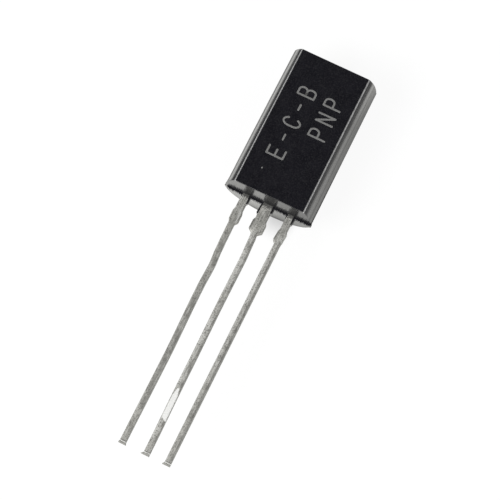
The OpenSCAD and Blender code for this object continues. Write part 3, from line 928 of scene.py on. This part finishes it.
pits = pattern(tree, grain_group, Scale=15000.0, Detail=5.0)
scratches = pattern(tree, streak_group, Across=16000.0, Along=1800.0)
tone = stored(tree, "tone")
glint = stored(tree, "glint")
plating = blend_colours(tree, ramp(tree, patches, 0.35, 0.65, 0.0, 1.0), TIN, TIN_PALE)
lightened = math_node(tree, "ADD", tone, ramp(tree, scratches, 0.3, 0.7, -0.3, 0.3))
plating = blend_colours(tree, ramp(tree, lightened, 0.1, 1.0, 0.0, 1.0), plating, TIN_LIGHT)
plating = blend_colours(tree, ramp(tree, tone, -1.0, 0.0, 0.5, 0.0), plating, TIN_DARK)
plating = blend_colours(tree, ramp(tree, pits, 0.48, 0.64, 0.0, 0.8), plating, TIN_PIT)
plating = blend_colours(tree, ramp(tree, scratches, 0.54, 0.70, 0.0, 0.7), plating, TIN_SCRATCH)
# Painted shade: dark lines down the fronts, across the tips and beside the stubs.
shaded = math_node(tree, "MULTIPLY", stored(tree, "painted_shade"), ramp(tree, pits, 0.3, 0.7, 1.1, 0.6), clamp=True)
plating = blend_colours(tree, shaded, plating, LEAD_SHADE)
# Cut faces are dark, and so is the painted shade on the rounded sides.
plating = blend_colours(tree, ramp(tree, stored(tree, "cut"), 0.3, 0.9, 0.0, 1.0), plating, CUT_AND_SHADE)
# Painted highlights: the burr's lip, the bright line beside a stub, and glints on the front.
plating = blend_colours(tree, glint, plating, GLINT)
edge_of_film = math_node(tree, "ADD", stored(tree, "film"), ramp(tree, pits, 0.3, 0.7, -0.25, 0.25))
covered = ramp(tree, edge_of_film, 0.3, 0.7, 0.0, 0.94)
tree.links.new(blend_colours(tree, covered, plating, RESIN_FILM), shader.inputs["Base Color"])
dull = math_node(tree, "MAXIMUM", covered, glint)
tree.links.new(ramp(tree, dull, 0.0, 0.9, 0.62, 0.15), shader.inputs["Metallic"])
tree.links.new(ramp(tree, patches, 0.3, 0.7, 0.46, 0.54), shader.inputs["Roughness"])
relief = bump(tree, scratches, 0.3, 0.004 * MM)
tree.links.new(bump(tree, pits, 0.3, 0.003 * MM, relief), shader.inputs["Normal"])

# For each lead: how far resin bled down it (mm), the painted shade line down its front and the one beside
# its stub (place across, weight), the painted highlight beside its stub, how much lighter it is on the
# left, or darker where negative, at (mm below the body), and painted glints.
DARK_RIM_W = 0.13
BRIGHT_RIM_W = 0.1
LEAD_MARKS = [
    (0.36, (0.25, 0.12), (-0.72, 0.35), (0.6, 0.75),
     [(0, 0.6), (0.7, 0.6), (1.2, 0.3), (3, -0.1), (6.5, -0.15), (8.4, -0.6), (10.2, -0.8), (10.7, -0.1),
      (13.2, 0.0), (13.8, -0.3), (14.3, -0.4)], []),
    (0.36, (0.66, 0.12), (-0.86, 0.9), (0.8, 0.0),
     [(0, 0.4), (0.7, 0.4), (1.2, 0.3), (1.9, 0.8), (2.5, 0.5), (3.6, 1.0), (4.6, 0.9), (5.4, 0.3),
      (6.2, 0.5), (7, 0.9), (8, 0.8), (8.8, 0.3), (10.4, 0.7), (12.4, 0.6), (13.4, 0.8), (13.9, -0.2),
      (14.3, 0.0)], [(10.58, 12.33, -0.72, 0.92)]),
    (0.41, (0.5, 0.42), (-0.8, 0.6), (0.75, 0.25),
     [(0, 0.3), (0.7, 0.3), (1.2, 0.4), (2, 0.8), (4.8, 0.9), (6, 0.5), (11, 0.4), (11.8, 0.0), (14, 0.2)],
     []),
]
for (name, neck, stub, slopes, burrs, bends, inner), marks, middle in zip(LEADS, LEAD_MARKS, (-PITCH, 0, PITCH)):
    film_len, shade_line, dark_rim, bright_rim, tones, glint_patches = marks
    grid, spread, cut = lead_grid(middle, neck, stub, slopes, burrs, bends, inner)
    lead = closed_mesh(name.replace("_lead", "_strip"), [capped(grid)])
    below = -grid[..., 1]
    film = np.clip(1 - below / MM / film_len, 0, 1)
    left_share = 1 - soft_step(spread, 0.1, 0.8) * (below > STUB_TOP + STUB_H)
    tone = np.interp(below / MM, [d for d, r in tones], [r for d, r in tones])
    tone = np.where(tone > 0, tone * left_share, tone)
    # Painted highlights on the lip, beside the stub and in glint patches.
    glint = np.maximum(bright_lip(below, spread), stub_line(below, spread, *bright_rim, BRIGHT_RIM_W))
    for patch in glint_patches:
        glint = np.maximum(glint, glint_patch(below, spread, patch))
    painted_shade = np.maximum(dark_line(below, spread, *shade_line),
                       stub_line(below, spread, *dark_rim, DARK_RIM_W))
    for label, values, poles in (("film", film, (1, 0)), ("cut", cut, (0, 1)), ("tone", tone, (0, 0)),
                                 ("glint", glint, (0, 0)), ("painted_shade", painted_shade, (0, 0))):
        set_attribute(lead, label, np.concatenate([values.ravel(), poles]))
    lead.data.materials.append(tin)
    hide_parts(name)
    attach(lead, "root")

# ---------------------------------------------------------------------------
# Inside the body
# The silicon die is soldered to the collector's pad, and two gold wires run from it to the posts.
# All of it is sealed in the resin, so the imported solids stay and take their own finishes.
# ---------------------------------------------------------------------------
GOLD = (0.85, 0.58, 0.14)
# Each: node, colour, metal and roughness.
INNER = [("silicon_die", (0.11, 0.12, 0.16), 0.0, 0.2), ("die_attach", (0.34, 0.34, 0.36), 1.0, 0.45),
         ("emitter_bond_wire", GOLD, 1.0, 0.25), ("base_bond_wire", GOLD, 1.0, 0.25)]
for name, colour, metal, rough in INNER:
    finish, tree, output = new_material(name + "_finish")
    shader = tree.nodes.new("ShaderNodeBsdfPrincipled")
    tree.links.new(shader.outputs[0], output.inputs["Surface"])
    shader.inputs["Metallic"].default_value = metal
    speckle = pattern(tree, grain_group, Scale=12000.0, Detail=3.0)
    darker = tuple(0.85 * part for part in colour)
    tree.links.new(blend_colours(tree, ramp(tree, speckle, 0.3, 0.7, 0.0, 1.0), darker, colour),
                   shader.inputs["Base Color"])
    tree.links.new(ramp(tree, speckle, 0.3, 0.7, rough, rough + 0.1), shader.inputs["Roughness"])
    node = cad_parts[name]
    node.data.materials.clear()
    node.data.materials.append(finish)

bpy.context.scene.view_settings.view_transform = "Standard"
